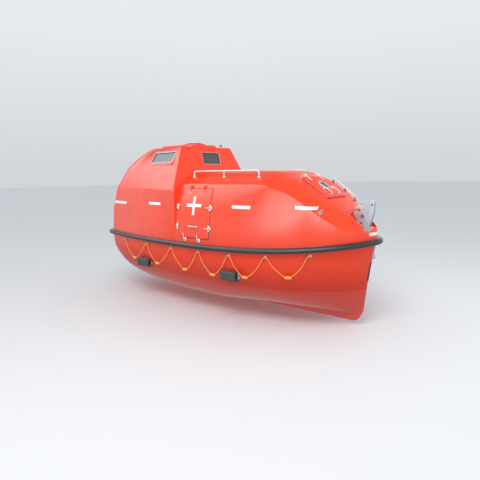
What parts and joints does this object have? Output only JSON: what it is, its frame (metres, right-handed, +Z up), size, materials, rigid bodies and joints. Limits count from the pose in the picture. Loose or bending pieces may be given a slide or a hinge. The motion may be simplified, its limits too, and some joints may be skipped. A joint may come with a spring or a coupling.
{
  "type": "enclosed lifeboat",
  "caption": "Rigid totally enclosed lifeboat afloat, with wheelhouse aft, side doors hinged at the top, deck hatches, lifting hooks, becketed grab lines, rudder and propeller.",
  "frame": {"origin": "at the waterline, on the centre plane amidships, 17.5 mm forward of halfway between the fender's ends", "axes": "+X towards the bow, +Y to port, +Z up"},
  "size_m": [6.011, 2.45, 3.0083],
  "materials": {
    "gelcoat": "glossy international orange gelcoat on glass-fibre laminate",
    "liner": "satin cream inner moulding",
    "rubber": "black rubber, slightly worn",
    "white_paint": "white painted steel",
    "galvanised": "hot-dip galvanised steel, dull",
    "bronze": "cast bronze, polished blades",
    "glass": "tinted polycarbonate glazing",
    "rope": "orange laid synthetic rope with light orange foam floats",
    "cushion": "dark blue vinyl",
    "black_plastic": "moulded black plastic",
    "engine_paint": "grey green machine paint",
    "lamp": "white lamp lens on a yellow base"
  },
  "bodies": {
    "root": {"hull": "gelcoat", "canopy": "gelcoat", "fender": "rubber", "sole": "liner", "bench_port": "liner", "bench_starboard": "liner", "engine": "engine_paint", "helm_console": "liner", "steering_wheel": "black_plastic", "helm_seat": "cushion", "window_rim_front": "white_paint", "window_pane_front": "glass", "window_rim_port": "white_paint", "window_pane_port": "glass", "window_rim_starboard": "white_paint", "window_pane_starboard": "glass", "roof_hatch_bracket": "white_paint", "bow_hook_frame": "galvanised", "stern_hook_frame": "galvanised", "handrail_starboard": "white_paint", "handrail_port": "white_paint", "foredeck_rail": "white_paint", "grab_line_starboard": "rope", "grab_line_port": "rope", "block_fender_aft_starboard": "rubber", "block_fender_aft_port": "rubber", "block_fender_fore_starboard": "rubber", "block_fender_fore_port": "rubber", "cleat_bow_starboard": "galvanised", "cleat_bow_port": "galvanised", "roof_lamp": "lamp", "stem_eye": "galvanised", "stem_strip": "galvanised"},
    "side_door_starboard": {"door_starboard": "gelcoat", "door_handle_starboard": "white_paint"},
    "side_door_port": {"door_port": "gelcoat", "door_handle_port": "white_paint"},
    "fore_hatch_lid": {"bow_hatch": "gelcoat", "bow_hatch_porthole_rim": "white_paint", "bow_hatch_porthole_pane": "glass", "bow_hatch_lever_starboard": "white_paint", "bow_hatch_lever_port": "white_paint"},
    "aft_hatch_lid": {"stern_hatch": "gelcoat"},
    "roof_hatch_lid": {"roof_hatch": "white_paint"},
    "fore_lifting_hook": {"bow_hook": "galvanised"},
    "aft_lifting_hook": {"stern_hook": "galvanised"},
    "rudder_blade": {"rudder": "gelcoat"},
    "screw": {"propeller": "bronze"}
  },
  "joints": [
    {"name": "door_starboard_hinge", "type": "hinge", "parent": "root", "child": "side_door_starboard", "pos_m": [0.115, -0.9847, 1.592], "axis": [-1, 0, 0], "range_deg": [0, 100]},
    {"name": "door_port_hinge", "type": "hinge", "parent": "root", "child": "side_door_port", "pos_m": [0.115, 0.9847, 1.592], "axis": [1, 0, 0], "range_deg": [0, 100]},
    {"name": "fore_hatch_hinge", "type": "hinge", "parent": "root", "child": "fore_hatch_lid", "pos_m": [1.7986, 0, 1.7735], "axis": [0, -1, 0], "range_deg": [0, 110]},
    {"name": "aft_hatch_hinge", "type": "hinge", "parent": "root", "child": "aft_hatch_lid", "pos_m": [-2.0243, 0, 2.3306], "axis": [0, 1, 0], "range_deg": [0, 100]},
    {"name": "roof_hatch_hinge", "type": "hinge", "parent": "root", "child": "roof_hatch_lid", "pos_m": [-1.137, 0, 2.414], "axis": [0, -1, 0], "range_deg": [0, 110]},
    {"name": "bow_hook_pivot", "type": "hinge", "parent": "root", "child": "fore_lifting_hook", "pos_m": [2.69, 0, 1.15], "axis": [0, 1, 0], "range_deg": [0, 70]},
    {"name": "stern_hook_pivot", "type": "hinge", "parent": "root", "child": "aft_lifting_hook", "pos_m": [-2.69, 0, 1.192], "axis": [0, -1, 0], "range_deg": [0, 70]},
    {"name": "rudder_turn", "type": "hinge", "parent": "root", "child": "rudder_blade", "pos_m": [-2.61, 0, -0.205], "axis": [0, 0, 1], "range_deg": [-35, 35]},
    {"name": "propeller_spin", "type": "hinge", "parent": "root", "child": "screw", "pos_m": [-2.33, 0, -0.205], "axis": [1, 0, 0], "continuous": true}
  ]
}
